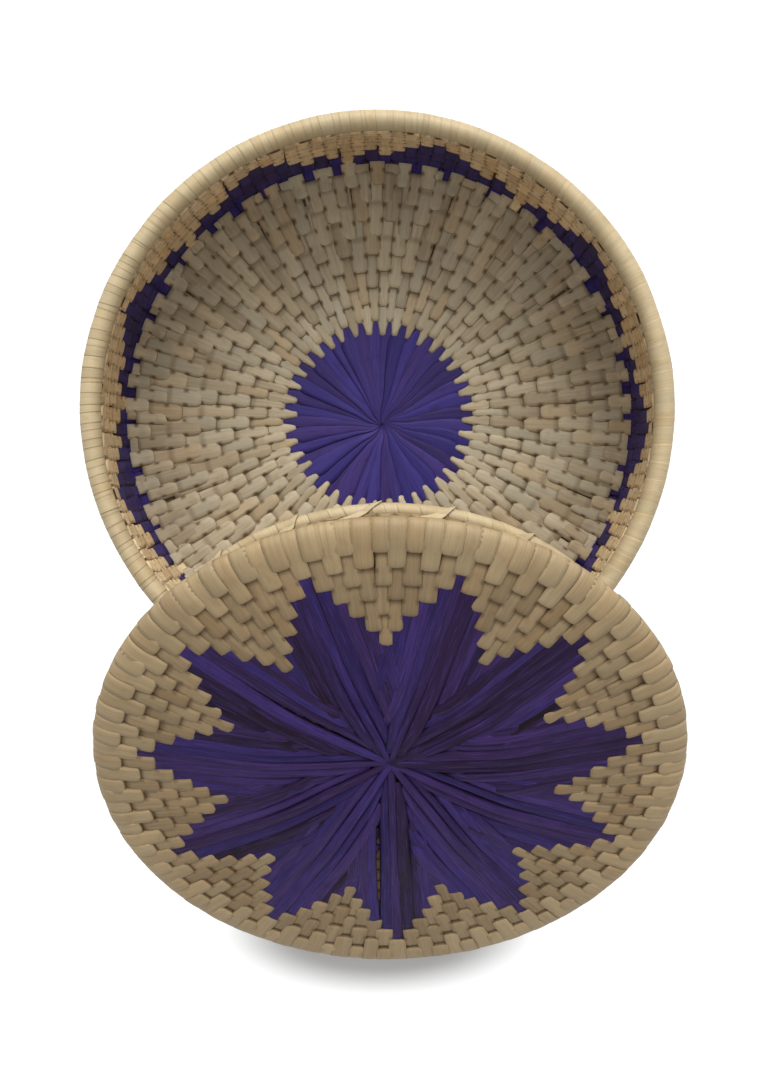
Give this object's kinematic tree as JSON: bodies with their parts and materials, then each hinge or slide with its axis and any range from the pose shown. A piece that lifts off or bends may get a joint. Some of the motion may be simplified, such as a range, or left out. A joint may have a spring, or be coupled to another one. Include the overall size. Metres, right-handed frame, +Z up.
{
  "type": "lidded bread basket",
  "caption": "Round coiled palm leaf bread basket with a wrapped rim and a purple rosette and zigzag inside, and a purple-starred lid with a plug collar, shown off and leaning on the rim.",
  "frame": {"origin": "centre of the basket's flat underside, on the surface that it stands on", "axes": "+Z up along the basket's axis; the lid leans against the rim on the -Y side; +X to the right seen from there"},
  "size_m": [0.3081, 0.4591, 0.1852],
  "materials": {
    "floor_and_wall_leaf": "dry palm leaf, matt with a faint sheen along the fibres",
    "wrapping_leaf": "dry palm leaf, paler and smoother",
    "lid_leaf": "dry palm leaf, warmer and matt",
    "purple_leaf": "palm leaf dyed deep blue-violet, satin"
  },
  "bodies": {
    "basket": {"basket_centre": "floor_and_wall_leaf", "basket_floor_coil": "floor_and_wall_leaf", "basket_wall_coil": "floor_and_wall_leaf", "basket_rosette": "purple_leaf", "basket_zigzag_peak_1": "purple_leaf", "basket_zigzag_peak_2": "purple_leaf", "basket_zigzag_peak_3": "purple_leaf", "basket_zigzag_peak_4": "purple_leaf", "basket_zigzag_peak_5": "purple_leaf", "basket_zigzag_peak_6": "purple_leaf", "basket_zigzag_peak_7": "purple_leaf", "basket_zigzag_peak_8": "purple_leaf", "basket_zigzag_peak_9": "purple_leaf", "basket_rim_roll": "wrapping_leaf"},
    "lid": {"lid_centre": "purple_leaf", "lid_coil": "lid_leaf", "lid_star_point_1": "purple_leaf", "lid_star_point_2": "purple_leaf", "lid_star_point_3": "purple_leaf", "lid_star_point_4": "purple_leaf", "lid_star_point_5": "purple_leaf", "lid_star_point_6": "purple_leaf", "lid_star_point_7": "purple_leaf", "lid_star_point_8": "purple_leaf", "lid_star_point_9": "purple_leaf", "lid_star_point_10": "purple_leaf", "lid_star_point_11": "purple_leaf", "lid_edge_roll": "lid_leaf", "lid_collar_coil": "wrapping_leaf", "lid_collar_ring": "wrapping_leaf", "lid_ring_tie_1": "wrapping_leaf", "lid_ring_tie_2": "wrapping_leaf", "lid_ring_tie_3": "wrapping_leaf", "lid_ring_tie_4": "wrapping_leaf", "lid_ring_tie_5": "wrapping_leaf", "lid_ring_tie_6": "wrapping_leaf", "lid_ring_tie_7": "wrapping_leaf", "lid_ring_tie_8": "wrapping_leaf", "lid_ring_tie_9": "wrapping_leaf", "lid_ring_tie_10": "wrapping_leaf", "lid_ring_tie_11": "wrapping_leaf", "lid_ring_tie_12": "wrapping_leaf", "lid_ring_tie_13": "wrapping_leaf", "lid_ring_tie_14": "wrapping_leaf", "lid_ring_tie_15": "wrapping_leaf", "lid_ring_tie_16": "wrapping_leaf", "lid_ring_tie_17": "wrapping_leaf", "lid_ring_tie_18": "wrapping_leaf", "lid_ring_tie_19": "wrapping_leaf", "lid_ring_tie_20": "wrapping_leaf", "lid_ring_tie_21": "wrapping_leaf"}
  },
  "joints": [
    {"name": "lid_lift", "type": "slide", "parent": "basket", "child": "lid", "axis": [0, 0, 1], "range_m": [0, 0.12]}
  ]
}
